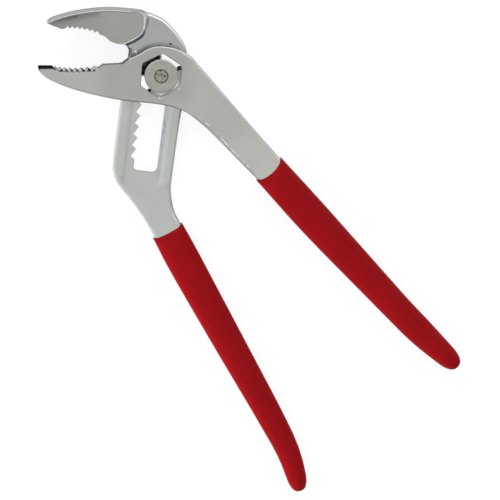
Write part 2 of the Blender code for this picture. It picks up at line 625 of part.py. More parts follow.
def main():
    for obj in list(bpy.data.objects):
        bpy.data.objects.remove(obj)
    rear_mouth = np.array(slot_point(NECK_SHIFT, SLOT_FOOT + NECK_LENGTH))
    rear = Handle(rear_mouth, REAR_GRIP_LENGTH, REAR_GRIP_TURN, REAR_GRIP_LINE)
    front = Handle(FRONT_NECK * FRONT_NECK_RUN, FRONT_GRIP_LENGTH, FRONT_GRIP_TURN, FRONT_GRIP_LINE)
    slide = empty("pivot_slide")
    hinge = empty("jaw_hinge", slide)
    pieces = {
        make_rear_arm(rear): None,
        make_grip("rear_grip", rear, REAR_MOUTH_BOW): None,
        make_bolt(): slide,
        make_nut(): slide,
        make_front_arm(front): hinge,
        make_grip("front_grip", front, FRONT_MOUTH_BOW): hinge,
    }
    for piece, parent in pieces.items():
        piece.parent = parent
        piece.data.shade_smooth()
        piece.data.set_sharp_from_angle(angle=math.radians(SHARP_ANGLE))


main()
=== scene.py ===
"""Water pump pliers on a white table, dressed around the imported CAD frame.

Every piece is a copy of its CAD node: doubles merged, flat faces made whole, the edges of drafted
reliefs kept crisp and the sides smoothed. The grips also close on the arms inside them.
Lengths are in metres, in the frame of the part: Z is the pivot axis, and the pliers rest on Z = 0.
Only the patches of the finishes are in millimetres.
"""

import logging
import math
from collections.abc import Iterator
from contextlib import contextmanager
from dataclasses import dataclass
from enum import Enum
from typing import Any

import bmesh
import bpy
from mathutils import Matrix, Vector
from mathutils.bvhtree import BVHTree


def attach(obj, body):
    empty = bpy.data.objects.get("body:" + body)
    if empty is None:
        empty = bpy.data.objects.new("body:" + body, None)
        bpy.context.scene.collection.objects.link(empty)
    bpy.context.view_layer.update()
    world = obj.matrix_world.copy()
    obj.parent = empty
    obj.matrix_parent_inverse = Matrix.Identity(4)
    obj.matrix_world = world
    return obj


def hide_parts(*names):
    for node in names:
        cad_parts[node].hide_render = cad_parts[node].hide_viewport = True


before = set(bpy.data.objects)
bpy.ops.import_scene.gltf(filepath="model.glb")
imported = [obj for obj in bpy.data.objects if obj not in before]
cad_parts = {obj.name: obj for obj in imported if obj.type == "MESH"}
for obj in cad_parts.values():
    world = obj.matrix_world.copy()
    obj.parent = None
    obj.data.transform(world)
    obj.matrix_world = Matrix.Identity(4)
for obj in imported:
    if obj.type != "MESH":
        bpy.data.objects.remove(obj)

log = logging.getLogger("pliers")

Colour = tuple[float, float, float]
Point = tuple[float, float, float]
Span = tuple[float, float]

MM = 0.001
MID = 0.5  # mean of a noise

UP = (0.0, 0.0, 1.0)
NORTH = (0.0, 1.0, 0.0)
SOUTH = (0.0, -1.0, 0.0)
EAST = (1.0, 0.0, 0.0)
WEST = (-1.0, 0.0, 0.0)


class Body(Enum):
    """Moving bodies of the pliers."""

    REAR = "rear_half"
    PIVOT = "pivot"
    FRONT = "front_half"


class Signal:
    """One output socket, so that shader maths reads as Python expressions."""

    def __init__(self, graph: "Graph", socket: bpy.types.NodeSocket) -> None:
        """Keeps the socket and the graph that it belongs to."""
        self.graph = graph
        self.socket = socket

    def __add__(self, other: "Signal | float") -> "Signal":
        """Sum of two values."""
        return self.graph.math("ADD", self, other)

    def __sub__(self, other: "Signal | float") -> "Signal":
        """This value less another."""
        return self.graph.math("SUBTRACT", self, other)

    def __rsub__(self, other: float) -> "Signal":
        """A number less this value."""
        return self.graph.math("SUBTRACT", other, self)

    def __mul__(self, other: "Signal | float") -> "Signal":
        """Product of two values."""
        return self.graph.math("MULTIPLY", self, other)

    __radd__ = __add__
    __rmul__ = __mul__

    def rise(self, low: float, high: float) -> "Signal":
        """Smooth step from 0 at low to 1 at high.

        Args:
            low: Value at which the step starts.
            high: Value at which the step is complete; below low, the step falls.

        Returns:
            The step, from 0 to 1.
        """
        if low > high:
            return 1 - self.rise(high, low)
        made = self.graph.node(
            "ShaderNodeMapRange",
            {"interpolation_type": "SMOOTHSTEP"},
            {"Value": self, "From Min": low, "From Max": high},
        )
        return Signal(self.graph, made.outputs["Result"])


class Graph:
    """Node tree of one material or of the world."""

    def __init__(self, tree: bpy.types.NodeTree) -> None:
        """Empties the tree."""
        self.tree = tree
        tree.nodes.clear()

    def node(
        self,
        kind: str,
        settings: dict[str, Any] | None = None,
        inputs: dict[str | int, Any] | None = None,
    ) -> bpy.types.Node:
        """Adds a node.

        Args:
            kind: Blender's name of the node's type.
            settings: Properties, set before the sockets.
            inputs: Numbers, colours or Signals, by the socket's name or index.

        Returns:
            The new node.
        """
        made = self.tree.nodes.new(kind)
        for name, value in (settings or {}).items():
            setattr(made, name, value)
        for key, value in (inputs or {}).items():
            if isinstance(value, Signal):
                self.tree.links.new(value.socket, made.inputs[key])
            else:
                made.inputs[key].default_value = value
        return made

    def math(self, operation: str, first: Signal | float, second: Signal | float) -> Signal:
        """A Math node on two values."""
        made = self.node("ShaderNodeMath", {"operation": operation}, {0: first, 1: second})
        return Signal(self, made.outputs["Value"])

    def place(self) -> Signal:
        """Object coordinates, which are the frame's own metres."""
        return Signal(self, self.node("ShaderNodeTexCoord").outputs["Object"])

    def looking(self, side: Point) -> Signal:
        """Share of the surface's direction that points to a side, from -1 to 1."""
        outward = Signal(self, self.node("ShaderNodeTexCoord").outputs["Normal"])
        return self.along(outward, side)

    def along(self, vector: Signal, side: Point) -> Signal:
        """Part of a vector along a side."""
        ends = {0: vector, 1: Vector(side).normalized()}
        made = self.node("ShaderNodeVectorMath", {"operation": "DOT_PRODUCT"}, ends)
        return Signal(self, made.outputs["Value"])

    def axes(self, vector: Signal) -> tuple[Signal, Signal, Signal]:
        """The three parts of a vector."""
        made = self.node("ShaderNodeSeparateXYZ", inputs={"Vector": vector})
        return tuple(Signal(self, made.outputs[axis]) for axis in "XYZ")

    def turned(self, vector: Signal, degrees: float, stretch: Point) -> Signal:
        """A vector turned about Z and then scaled.

        Args:
            vector: The coordinates.
            degrees: Turn of the pattern's first axis.
            stretch: Cells per metre along the pattern's three axes.

        Returns:
            Coordinates for a texture of scale 1.
        """
        turn = (0.0, 0.0, -math.radians(degrees))
        level = self.node("ShaderNodeMapping", inputs={"Vector": vector, "Rotation": turn})
        straight = Signal(self, level.outputs["Vector"])
        made = self.node("ShaderNodeMapping", inputs={"Vector": straight, "Scale": stretch})
        return Signal(self, made.outputs["Vector"])

    def noise(self, vector: Signal, cells: float, detail: float) -> Signal:
        """Soft noise from 0 to 1, with this many cells per unit of the vector."""
        inputs = {"Vector": vector, "Scale": cells, "Detail": detail}
        return Signal(self, self.node("ShaderNodeTexNoise", inputs=inputs).outputs["Fac"])

    def blend(self, share: Signal, first: Signal | Colour, second: Signal | Colour) -> Signal:
        """A colour between two others.

        Args:
            share: 0 for the first colour, 1 for the second.
            first: A colour, even or varying.
            second: A colour, even or varying.

        Returns:
            The mixed colour.
        """
        pair = [c if isinstance(c, Signal) else (*c, 1.0) for c in (first, second)]
        inputs = {0: share, 6: pair[0], 7: pair[1]}
        made = self.node("ShaderNodeMix", {"data_type": "RGBA"}, inputs)
        return Signal(self, made.outputs[2])

    def shaded(self, colour: Signal | Colour, tone: Signal) -> Signal:
        """A colour made brighter or darker by a factor."""
        inputs = {0: colour, "Scale": tone}
        made = self.node("ShaderNodeVectorMath", {"operation": "SCALE"}, inputs)
        return Signal(self, made.outputs["Vector"])

    def relief(self, height: Signal) -> Signal:
        """A normal for a surface with this height, in metres."""
        inputs = {"Strength": 1.0, "Distance": 1.0, "Height": height}
        return Signal(self, self.node("ShaderNodeBump", inputs=inputs).outputs["Normal"])

    def close(self, shader: bpy.types.Node, kind: str = "ShaderNodeOutputMaterial") -> None:
        """Links a shader to the tree's output."""
        self.node(kind, inputs={"Surface": Signal(self, shader.outputs[0])})


def new_material(name: str) -> tuple[bpy.types.Material, Graph]:
    """Makes an empty node material.

    Args:
        name: Name of the material.

    Returns:
        The material and its graph.
    """
    material = bpy.data.materials.new(name)
    material.use_nodes = True
    return material, Graph(material.node_tree)


@dataclass(frozen=True)
class Patch:
    """A box with soft borders in which a surface differs.

    Attributes:
        low: Lowest corner, in millimetres of the frame turned about Z.
        high: Highest corner.
        soft: Width of the border round the box, in millimetres.
        colour: Colour inside the box.
        roughness: Roughness inside the box.
        metal: 1 for bare metal, 0 for a pit and for painted shade, highlights and light.
        side: Direction in which faces look that take the patch, or None for all faces.
        lean: How squarely they look there, from 0 to 1, where it starts and where it is full.
        turn: Turn of the box about Z, in degrees.
        blots: Cells per metre of a noise that breaks the patch up, or 0 for a whole patch.
        blot_edges: Levels of that noise where the blots start and where they are full.
    """

    low: Point
    high: Point
    soft: float
    colour: Colour
    roughness: float
    metal: float = 1.0
    side: Point | None = None
    lean: Span = (0.1, 0.4)
    turn: float = 0.0
    blots: float = 0.0
    blot_edges: Span = (0.46, 0.60)

    def mask(self, graph: Graph, place: Signal) -> Signal:
        """Share of the patch at a place.

        Args:
            graph: The material's graph.
            place: Object coordinates.

        Returns:
            1 inside the box, on faces that look to its side and within its blots, 0 elsewhere.
        """
        share: Signal | float = 1.0
        spot = graph.turned(place, self.turn, (1 / MM, 1 / MM, 1 / MM))
        for value, low, high in zip(graph.axes(spot), self.low, self.high):
            share = share * value.rise(low - self.soft, low) * value.rise(high + self.soft, high)
        if self.side is not None:
            share = share * graph.looking(self.side).rise(*self.lean)
        if self.blots:
            share = share * graph.noise(place, self.blots, detail=2.0).rise(*self.blot_edges)
        return share


@dataclass
class Coat:
    """Colour, roughness and metal of a surface while its patches are laid on."""

    colour: Signal | Colour
    rough: Signal
    metal: Signal | float

    def lay(self, graph: Graph, place: Signal, patches: tuple[Patch, ...]) -> None:
        """Lays patches over the surface, each one over those before it.

        Args:
            graph: The material's graph.
            place: Object coordinates.
            patches: The patches, the lowest first.
        """
        for patch in patches:
            share = patch.mask(graph, place)
            self.colour = graph.blend(share, self.colour, patch.colour)
            self.rough = self.rough * (1 - share) + share * patch.roughness
            self.metal = self.metal * (1 - share) + share * patch.metal


@dataclass(frozen=True)
class SatinPlate:
    """Satin plating on a forging that was blasted and ground.

    Each texture has its cells per metre, and its share in tone, roughness and height. Faces that
    look up or down, within flat_lean, were ground: they lost most of the forged skin and are
    brushed.
    """

    colour: Colour
    edge_tint: Colour = (0.60, 0.635, 0.665)
    roughness: float = 0.25
    flat_lean: Span = (0.90, 0.99)
    cloud_cells: float = 90.0
    cloud_tone: float = 0.14
    cloud_rough: float = 0.10
    skin_cells: float = 420.0
    skin_rough: float = 0.08
    skin_height: float = 0.015 * MM
    skin_ground: float = 0.85
    grain_cells: float = 4200.0
    grain_tone: float = 0.08
    grain_height: float = 0.003 * MM
    brush_turn: float = 0.0
    brush_cells: Point = (55.0, 5200.0, 900.0)
    brush_rough: float = 0.10
    brush_height: float = 0.0012 * MM
    patches: tuple[Patch, ...] = ()

    def material(self, name: str) -> bpy.types.Material:
        """Builds the node material.

        Args:
            name: Name of the material.

        Returns:
            The material.
        """
        material, graph = new_material(name)
        place = graph.place()
        flat = graph.math("ABSOLUTE", graph.looking(UP), 0.0).rise(*self.flat_lean)
        cloud = graph.noise(place, self.cloud_cells, detail=4.0)
        skin = graph.noise(place, self.skin_cells, detail=3.0)
        grain = graph.noise(place, self.grain_cells, detail=1.0)
        strokes = graph.turned(place, self.brush_turn, self.brush_cells)
        brush = graph.noise(strokes, 1.0, detail=2.0)

        tone = (cloud - MID) * self.cloud_tone + (grain - MID) * self.grain_tone + 1.0
        rough = (
            (cloud - MID) * self.cloud_rough
            + (skin - MID) * self.skin_rough
            + (brush - MID) * flat * self.brush_rough
            + self.roughness
        )
        coat = Coat(self.colour, rough, 1.0)
        coat.lay(graph, place, self.patches)
        height = (
            skin * (1 - flat * self.skin_ground) * self.skin_height
            + grain * self.grain_height
            + brush * flat * self.brush_height
        )
        shader = graph.node(
            "ShaderNodeBsdfPrincipled",
            inputs={
                "Base Color": graph.shaded(coat.colour, tone),
                "Metallic": coat.metal,
                "Roughness": coat.rough,
                "Specular IOR Level": 0.0,
                "Specular Tint": (*self.edge_tint, 1.0),
                "Normal": graph.relief(height),
            },
        )
        graph.close(shader)
        return material


@dataclass(frozen=True)
class DippedVinyl:
    """Red vinyl that the handles were dipped in, with slow ripples and a fine orange peel."""

    colour: Colour = (0.228, 0.0025, 0.0045)
    roughness: float = 0.42
    specular: float = 0.05
    cloud_cells: float = 60.0
    cloud_tone: float = 0.12
    ripple_cells: float = 70.0
    ripple_height: float = 0.05 * MM
    peel_cells: float = 900.0
    peel_rough: float = 0.12
    peel_height: float = 0.008 * MM

    def material(self, name: str) -> bpy.types.Material:
        """Builds the node material.

        Args:
            name: Name of the material.

        Returns:
            The material.
        """
        material, graph = new_material(name)
        place = graph.place()
        cloud = graph.noise(place, self.cloud_cells, detail=3.0)
        peel = graph.noise(place, self.peel_cells, detail=2.0)
        ripple = graph.noise(place, self.ripple_cells, detail=1.0)
        dark = tuple(c * (1 - self.cloud_tone) for c in self.colour)
        bright = tuple(c * (1 + self.cloud_tone) for c in self.colour)
        height = ripple * self.ripple_height + peel * self.peel_height
        shader = graph.node(
            "ShaderNodeBsdfPrincipled",
            inputs={
                "Base Color": graph.blend(cloud, dark, bright),
                "Roughness": (peel - MID) * self.peel_rough + self.roughness,
                "Specular IOR Level": self.specular,
                "Normal": graph.relief(height),
            },
        )
        graph.close(shader)
        return material


@dataclass(frozen=True)
class TurnedZinc:
    """Zinc plate on a face turned on a lathe, with rings about the pivot axis.

    The stud in the middle is the bolt's staked end, which is worn dark in blots and along its rim.
    """

    colour: Colour
    roughness: float = 0.32
    ring_cells: float = 2600.0
    ring_tone: float = 0.15
    ring_height: float = 0.004 * MM
    grain_cells: float = 2500.0
    grain_height: float = 0.004 * MM
    cloud_cells: float = 350.0
    cloud_tone: float = 0.4
    cloud_rough: float = 0.15
    stud_colour: Colour = (0.31, 0.297, 0.25)
    stud_dark: Colour = (0.085, 0.075, 0.055)
    stud_radius: float = 3.35 * MM
    stud_soft: float = 0.1 * MM
    stud_rough: float = 0.12
    rim_inset: Span = (0.9 * MM, 0.2 * MM)
    rim_wear: float = 0.3
    blot_cells: float = 900.0
    blot_edges: Span = (0.50, 0.66)
    worn_tarnish: float = 0.6
    worn_depth: float = 0.03 * MM
    patches: tuple[Patch, ...] = ()

    def material(self, name: str) -> bpy.types.Material:
        """Builds the node material.

        Args:
            name: Name of the material.

        Returns:
            The material.
        """
        material, graph = new_material(name)
        place = graph.place()
        x, y, _ = graph.axes(place)
        radius = graph.math("SQRT", x * x + y * y, 0.0)
        waves = graph.node("ShaderNodeCombineXYZ", inputs={"X": radius})
        rings = graph.noise(Signal(graph, waves.outputs["Vector"]), self.ring_cells, detail=2.0)
        grain = graph.noise(place, self.grain_cells, detail=2.0)
        cloud = graph.noise(place, self.cloud_cells, detail=3.0)
        blot = graph.noise(place, self.blot_cells, detail=3.0)

        stud = radius.rise(self.stud_radius + self.stud_soft, self.stud_radius - self.stud_soft)
        rim = radius.rise(*(self.stud_radius - inset for inset in self.rim_inset))
        worn = (blot + rim * self.rim_wear).rise(*self.blot_edges) * stud
        tone = (cloud - MID) * self.cloud_tone + (rings - MID) * self.ring_tone + 1.0
        end = graph.blend(worn, self.stud_colour, self.stud_dark)
        rough = (cloud - MID) * self.cloud_rough + stud * self.stud_rough + self.roughness
        coat = Coat(graph.blend(stud, self.colour, end), rough, 1 - worn * self.worn_tarnish)
        coat.lay(graph, place, self.patches)
        height = rings * self.ring_height + grain * self.grain_height - worn * self.worn_depth
        shader = graph.node(
            "ShaderNodeBsdfPrincipled",
            inputs={
                "Base Color": graph.shaded(coat.colour, tone),
                "Metallic": coat.metal,
                "Roughness": coat.rough,
                "Specular IOR Level": 0.0,
                "Normal": graph.relief(height),
            },
        )
        graph.close(shader)
        return material


def pick(obj: bpy.types.Object) -> None:
    """Selects one object alone and makes it active.

    Args:
        obj: The object.
    """
    bpy.ops.object.select_all(action="DESELECT")
    obj.select_set(True)
    bpy.context.view_layer.objects.active = obj


@contextmanager
def editing(obj: bpy.types.Object) -> Iterator[None]:
    """Edit mode on one object, which starts with its whole mesh selected.

    Args:
        obj: The object.
    """
    pick(obj)
    bpy.ops.object.mode_set(mode="EDIT")
    bpy.ops.mesh.select_all(action="SELECT")
    yield
    bpy.ops.object.mode_set(mode="OBJECT")


@dataclass
class Piece:
    """A refined copy of a CAD node.

    Attributes:
        name: Name of the piece.
        node: The CAD node that it copies and replaces.
        body: Body that it rides on.
        material: Its finish.
        crease: Angle past which an edge is shaded sharp.
        weld: Distance within which doubles are merged.
        level: Angle within which triangles belong to one flat face.
        flat: Greatest tilt of a face that counts as level.
        draft: Tilts between which a face counts as the drafted side of a relief.
        even: Whether normals follow the larger faces.
    """

    name: str
    node: str
    body: Body
    material: bpy.types.Material
    crease: float = math.radians(34.0)
    weld: float = 0.002 * MM
    level: float = math.radians(0.4)
    flat: float = math.radians(2.875)
    draft: Span = (math.radians(23.0), math.radians(31.0))
    even: bool = True

    def build(self) -> None:
        """Copies the node, refines and dresses it, and lets it stand for the node."""
        obj = self.copied()
        self.refine(obj)
        self.crisp(obj)
        pick(obj)
        bpy.ops.object.shade_smooth_by_angle(angle=self.crease, keep_sharp_edges=True)
        if self.even:
            obj.modifiers.new("even_normals", "WEIGHTED_NORMAL").keep_sharp = True
            bpy.ops.object.modifier_apply(modifier="even_normals")
        obj.data.materials.clear()
        obj.data.materials.append(self.material)
        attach(obj, self.body.value)
        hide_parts(self.node)
        log.info("%s: %d faces", self.name, len(obj.data.polygons))

    def copied(self) -> bpy.types.Object:
        """Copies the node's mesh and merges its doubles.

        Returns:
            The copy.
        """
        obj = bpy.data.objects.new(self.name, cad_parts[self.node].data.copy())
        bpy.context.scene.collection.objects.link(obj)
        pick(obj)
        bpy.ops.mesh.customdata_custom_splitnormals_clear()
        with editing(obj):
            bpy.ops.mesh.remove_doubles(threshold=self.weld)
        return obj

    def refine(self, obj: bpy.types.Object) -> None:
        """Merges the triangles of flat faces.

        Args:
            obj: The copy.
        """
        with editing(obj):
            bpy.ops.mesh.dissolve_limited(angle_limit=self.level)

    def crisp(self, obj: bpy.types.Object) -> None:
        """Marks the edges of drafted reliefs, which are flatter than the crease angle, as sharp.

        Args:
            obj: The copy.
        """
        with editing(obj):
            bpy.ops.mesh.mark_sharp(clear=True)
            bpy.ops.mesh.select_all(action="DESELECT")
            bpy.ops.mesh.select_mode(type="EDGE")
            shape = bmesh.from_edit_mesh(obj.data)
            least, most = self.draft
            for edge in shape.edges:
                tilt = sorted(face.normal.angle(UP, 0.0) for face in edge.link_faces)
                if len(tilt) == 2 and tilt[0] < self.flat and least < tilt[1] < most:
                    edge.select_set(True)
            bmesh.update_edit_mesh(obj.data)
            bpy.ops.mesh.mark_sharp()


@dataclass
class Sleeve(Piece):
    """A dipped grip, whose cavity closes on the arm inside it.

    Attributes:
        arm: The CAD node of the arm.
        reach: Greatest gap that closes.
        fit: Gap that stays.
        inward: Cosine to the arm's face, below which a wall belongs to the cavity.
    """

    arm: str = ""
    even: bool = False
    reach: float = 0.9 * MM
    fit: float = 0.03 * MM
    inward: float = -0.15

    def refine(self, obj: bpy.types.Object) -> None:
        """Draws the cavity's walls in to the arm, then merges flat faces.

        Args:
            obj: The copy.
        """
        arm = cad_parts[self.arm].data
        corners = [vertex.co for vertex in arm.vertices]
        inside = BVHTree.FromPolygons(corners, [list(face.vertices) for face in arm.polygons])
        for vertex in obj.data.vertices:
            spot, outward, _, gap = inside.find_nearest(vertex.co)
            if gap < self.reach and vertex.normal.dot(outward) < self.inward:
                vertex.co = spot + self.fit * outward
        super().refine(obj)


@dataclass(frozen=True)
class Viewpoint:
    """A long lens, high above the table and leaning a little to the upper left.

    Attributes:
        aim: Point in the middle of the picture.
        back: Direction from there to the camera.
        span: Width of the picture at that point.
        lens: Focal length, in millimetres.
        sensor: Width of the sensor, in millimetres.
        clip: Nearest and farthest distance that is drawn.
    """

    aim: Point = (42.27 * MM, -84.09 * MM, 7.0 * MM)
    back: Point = (-0.06906, 0.14799, 0.98657)
    span: float = 235.85 * MM
    lens: float = 1500.0
    sensor: float = 36.0
    clip: Span = (0.01, 100.0)

    def build(self) -> None:
        """Adds the camera and makes it the scene's own."""
        back = Vector(self.back).normalized()
        right = Vector(NORTH).cross(back).normalized()
        turn = Matrix((right, back.cross(right), back)).transposed().to_4x4()
        data = bpy.data.cameras.new("camera")
        data.lens, data.sensor_width = self.lens, self.sensor
        data.clip_start, data.clip_end = self.clip
        camera = bpy.data.objects.new("camera", data)
        bpy.context.scene.collection.objects.link(camera)
        distance = self.span * self.lens / self.sensor
        camera.matrix_world = Matrix.Translation(Vector(self.aim) + distance * back) @ turn
        bpy.context.scene.camera = camera


@dataclass(frozen=True)
class SoftBox:
    """A square lamp that points at the pliers and isn't mirrored in them."""

    name: str
    place: Point
    aim: Point
    size: float
    glow: float

    def build(self) -> None:
        """Adds the lamp."""
        data = bpy.data.lights.new(self.name, "AREA")
        data.shape, data.size = "SQUARE", self.size
        data.energy = self.glow * math.pi * self.size**2
        lamp = bpy.data.objects.new(self.name, data)
        bpy.context.scene.collection.objects.link(lamp)
        lamp.location = self.place
        away = Vector(self.place) - Vector(self.aim)
        lamp.rotation_euler = away.to_track_quat("Z", "Y").to_euler()
        lamp.visible_glossy = False


@dataclass(frozen=True)
class Glow:
    """A soft bright region of the dome.

    Attributes:
        towards: Direction of its middle.
        start: Cosine to that direction at its border.
        full: Cosine at which it is full.
        level: Its brightness.
        colour: Its tint.
    """

    towards: Point
    start: float
    full: float
    level: float
    colour: Colour = (1.0, 1.0, 1.0)


@dataclass
class Studio:
    """White table, a dome that is pale overhead and bluish on the left, a soft box and a camera."""

    table_size: float = 60.0
    table_drop: float = 0.2 * MM
    table_colour: float = 0.22
    table_glow: float = 0.82
    dusk: float = 0.36
    glows: tuple[Glow, ...] = (
        Glow((0.93, 0.10, 0.36), 0.30, 0.85, 0.85),
        Glow((-0.95, -0.05, 0.32), 0.05, 0.60, 1.17, (0.94, 0.99, 1.05)),
        Glow((-0.42, 0.86, 0.28), 0.72, 0.95, 1.90, (0.97, 0.99, 1.03)),
        Glow((0.50, 0.84, 0.20), 0.70, 0.95, 2.20),
        Glow((0.03, 0.02, 1.0), 0.70, 0.93, 1.00, (1.0, 1.0, 0.985)),
    )
    key: SoftBox = SoftBox("key", (-1.1, -0.75, 0.13), (40 * MM, -80 * MM, 0.0), 0.5, 33.0)
    camera: Viewpoint = Viewpoint()

    def build(self) -> None:
        """Builds table, world, lamp and camera."""
        self.lay_table()
        self.raise_dome()
        self.key.build()
        self.camera.build()
        bpy.context.scene.view_settings.view_transform = "Standard"

    def lay_table(self) -> None:
        """Adds the table, white to the camera and in reflections, which holds the shadow."""
        bpy.ops.object.select_all(action="DESELECT")
        middle = (0.0, 0.0, -self.table_drop)
        bpy.ops.mesh.primitive_plane_add(size=self.table_size, location=middle)
        table = bpy.context.object
        table.name = "table"
        material, graph = new_material("table")
        path = graph.node("ShaderNodeLightPath")
        seen = Signal(graph, path.outputs["Is Camera Ray"])
        for ray in ("Is Glossy Ray", "Is Transmission Ray"):
            seen = graph.math("MAXIMUM", seen, Signal(graph, path.outputs[ray]))
        grey = (self.table_colour, self.table_colour, self.table_colour, 1.0)
        matt = graph.node("ShaderNodeBsdfDiffuse", inputs={"Color": grey})
        glow = graph.node("ShaderNodeEmission", inputs={"Strength": seen * self.table_glow})
        both = graph.node(
            "ShaderNodeAddShader",
            inputs={0: Signal(graph, matt.outputs[0]), 1: Signal(graph, glow.outputs[0])},
        )
        graph.close(both)
        table.data.materials.append(material)

    def raise_dome(self) -> None:
        """Sets the world: dusk all round, with the glows laid over it in turn."""
        world = bpy.data.worlds.new("dome")
        world.use_nodes = True
        bpy.context.scene.world = world
        graph = Graph(world.node_tree)
        towards = Signal(graph, graph.node("ShaderNodeTexCoord").outputs["Generated"])
        light: Signal | Colour = (self.dusk, self.dusk, self.dusk)
        for glow in self.glows:
            share = graph.along(towards, glow.towards).rise(glow.start, glow.full)
            light = graph.blend(share, light, tuple(glow.level * c for c in glow.colour))
        sky = graph.node("ShaderNodeBackground", inputs={"Color": light})
        graph.close(sky, "ShaderNodeOutputWorld")


PLATE_COLOUR = (0.43, 0.434, 0.408)
ZINC_COLOUR = (0.36, 0.36, 0.325)
# Black for a pit and for painted shade, then the colours of painted shade, glints, highlights and
# light.
PIT_AND_SHADE_BLACK = (0.012, 0.013, 0.012)
SHADE_DULL_BLACK = (0.03, 0.03, 0.03)
SHADE_BLUE_BLACK = (0.06, 0.06, 0.07)
GLINT_WHITE = (1.0, 1.0, 1.0)
HIGHLIGHT_BLUE = (0.58, 0.61, 0.65)
STEP_SHADE = (0.33, 0.375, 0.38)
STEP_LIGHT = (0.62, 0.66, 0.70)
HUB_WALL_LIGHT = (0.46, 0.50, 0.52)
RECESS_LIT = (0.74, 0.745, 0.72)
NUT_LIT = (0.63, 0.635, 0.615)

# Roughness of the patches.
POLISHED = 0.06
SATIN = 0.25
GROUND = 0.30
STAIN_AND_SHADE_ROUGH = 0.35
RECESS_ROUGH = 0.4
MATT = 0.5

SQUARE = (0.8, 0.95)  # lean of faces that look straight to a side
STEP_SIDE = (0.75, -0.65, 0.0)

# Turns about Z, in degrees, of the slot, the upper jaw's top and the front neck.
SLOT_TURN = -7.2
JAW_TURN = 11.0
NECK_TURN = -47.1


def plate(*factors: float) -> Colour:
    """The plating's colour times one factor, or one factor for each of red, green and blue."""
    return tuple(c * f for c, f in zip(PLATE_COLOUR, factors * 3))


def shoulder(colour: Colour) -> tuple[Patch, ...]:
    """Painted light on the lower right of the recess, in one colour."""
    return (
        Patch((4, -7, 9.0), (11, 2.4, 12.85), 0.1, colour, MATT, metal=0.0),
        Patch((-4.5, -12, 9.0), (9.5, -5, 12.85), 0.1, colour, MATT, metal=0.0),
    )


REAR_PATCHES = (
    # Painted shade on the head and upper jaw, and painted light on the neck and the left of the
    # body.
    Patch((-90, 0, 0), (60, 90, 20), 10, plate(0.87, 0.87, 0.90), SATIN),
    Patch((-90, -200, 0), (90, -45, 20), 30, plate(1.10, 1.11, 1.15), SATIN),
    Patch((-40, -45, 0), (-8, -18, 20), 7, plate(1.09, 1.10, 1.13), SATIN),
    # Painted highlight on the left wall of the body.
    Patch(
        (-40, -120, 0), (12, -12, 7.3), 4, plate(1.9), SATIN, side=(-1, -0.3, 0), lean=(0.5, 0.95)
    ),
    # Raised face of the jaw, with painted shade towards the tip and along its top.
    Patch((-60, 10, 12.9), (0, 40, 14), 0.3, plate(0.78), GROUND),
    Patch((-70, 10, 12.9), (-48, 40, 14), 25, plate(0.64), GROUND, side=UP, lean=SQUARE),
    Patch(
        (-60, 35.8, 12.9), (-24, 50, 14), 3.2, plate(0.48), GROUND,
        side=UP, lean=SQUARE, turn=JAW_TURN,
    ),
    Patch(
        (-60, 36.2, 12.9), (-34, 50, 14), 1.6, plate(0.26), GROUND,
        side=UP, lean=SQUARE, turn=JAW_TURN,
    ),
    # Painted reflection as a light strip on the jaw's top wall, and a painted line of shade above
    # it.
    Patch((-60, 10, 9.2), (-2, 45, 11.6), 0.6, plate(1.22, 1.23, 1.31), SATIN, side=NORTH),
    Patch((-60, 10, 12.9), (0, 40, 13.14), 0.06, plate(0.40), STAIN_AND_SHADE_ROUGH, side=NORTH),
    # Painted shade on the step beside the raised face, with painted light at its upper end.
    Patch((-20, 12, 8.2), (-4, 31, 13.0), 0.3, STEP_SHADE, SATIN, side=STEP_SIDE),
    Patch((-10, 22, 8.2), (-4, 31, 13.0), 3, STEP_LIGHT, SATIN, side=STEP_SIDE),
    # Painted highlights along the foot and the top of the step, each wider at the upper end.
    Patch((-20, 12, 7.45), (-4, 31, 8.2), 0.25, HIGHLIGHT_BLUE, MATT, metal=0.0, side=STEP_SIDE),
    Patch((-10, 21, 7.45), (-4, 31, 9.0), 0.5, HIGHLIGHT_BLUE, MATT, metal=0.0, side=STEP_SIDE),
    Patch((-20, 12, 12.7), (-4, 31, 13.2), 0.2, HIGHLIGHT_BLUE, MATT, metal=0.0, side=STEP_SIDE),
    Patch((-11, 22, 11.6), (-4, 31, 13.2), 0.5, HIGHLIGHT_BLUE, MATT, metal=0.0, side=STEP_SIDE),
    # A dark pit and a painted glint in the head.
    Patch((4.5, 14.2, 7.2), (5.1, 14.8, 7.6), 0.35, PIT_AND_SHADE_BLACK, MATT, metal=0.0),
    Patch((-12.0, 10.7, 7.2), (-11.4, 11.1, 7.6), 0.35, GLINT_WHITE, 0.1),
    # Pale strip on the right of the slot, and its stains.
    Patch((4.2, -50, 6.2), (5.6, -8, 6.6), 0.2, plate(1.03, 1.04, 1.12), SATIN, turn=SLOT_TURN),
    Patch(
        (4.2, -34, 6.2), (5.6, -8, 6.6), 0.3, plate(0.84, 0.84, 0.94), STAIN_AND_SHADE_ROUGH,
        turn=SLOT_TURN, blots=700,
    ),
    # Painted black shade on the bite.
    Patch((-60, 14, 2.3), (-29.5, 26, 12.6), 1.2, PIT_AND_SHADE_BLACK, MATT, metal=0.0, side=SOUTH),
    # Painted highlight along the rim of the head.
    Patch(
        (-6, 14, 4.5), (26, 40, 7.5), 3.5, plate(1.22, 1.23, 1.32), SATIN,
        side=(0.6, 0.8, 0), lean=(0.1, 0.6),
    ),
    # Right edge of the neck, dimmed with painted shade.
    Patch(
        (0, -76, 4), (16, -61, 12), 3, plate(0.86), STAIN_AND_SHADE_ROUGH, side=(0.9, 0.35, 0), lean=(0.15, 0.5)
    ),
    # Painted shade on the wall of the throat.
    Patch((-18, 8, 3), (-12.6, 12.6, 8), 0.5, plate(0.40), STAIN_AND_SHADE_ROUGH, side=WEST, lean=(0.05, 0.3)),
)
